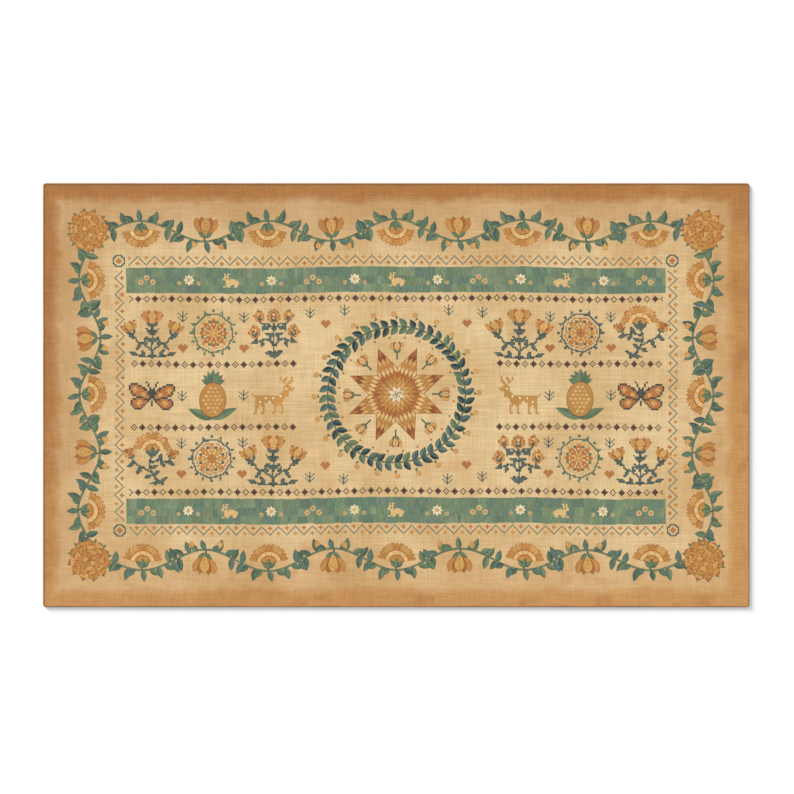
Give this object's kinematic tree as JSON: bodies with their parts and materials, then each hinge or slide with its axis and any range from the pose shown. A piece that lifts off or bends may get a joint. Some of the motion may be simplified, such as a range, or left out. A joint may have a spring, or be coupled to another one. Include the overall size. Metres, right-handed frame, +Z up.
{
  "type": "printed sampler rug",
  "caption": "Flat rectangular low-pile floor rug with small rounded corners, an overlocked edge and an embroidery-style printed face.",
  "frame": {"origin": "middle of the underside, on the surface that the rug lies on", "axes": "+X along the rug's length, +Y across its width towards the top of the design, +Z up out of the printed face"},
  "size_m": [1.524, 0.9144, 0.003],
  "materials": {
    "rug_cloth": "matte low-pile woven cloth, printed on its face, with the bare weave underneath"
  },
  "bodies": {
    "root": {"rug": "rug_cloth"}
  },
  "joints": []
}
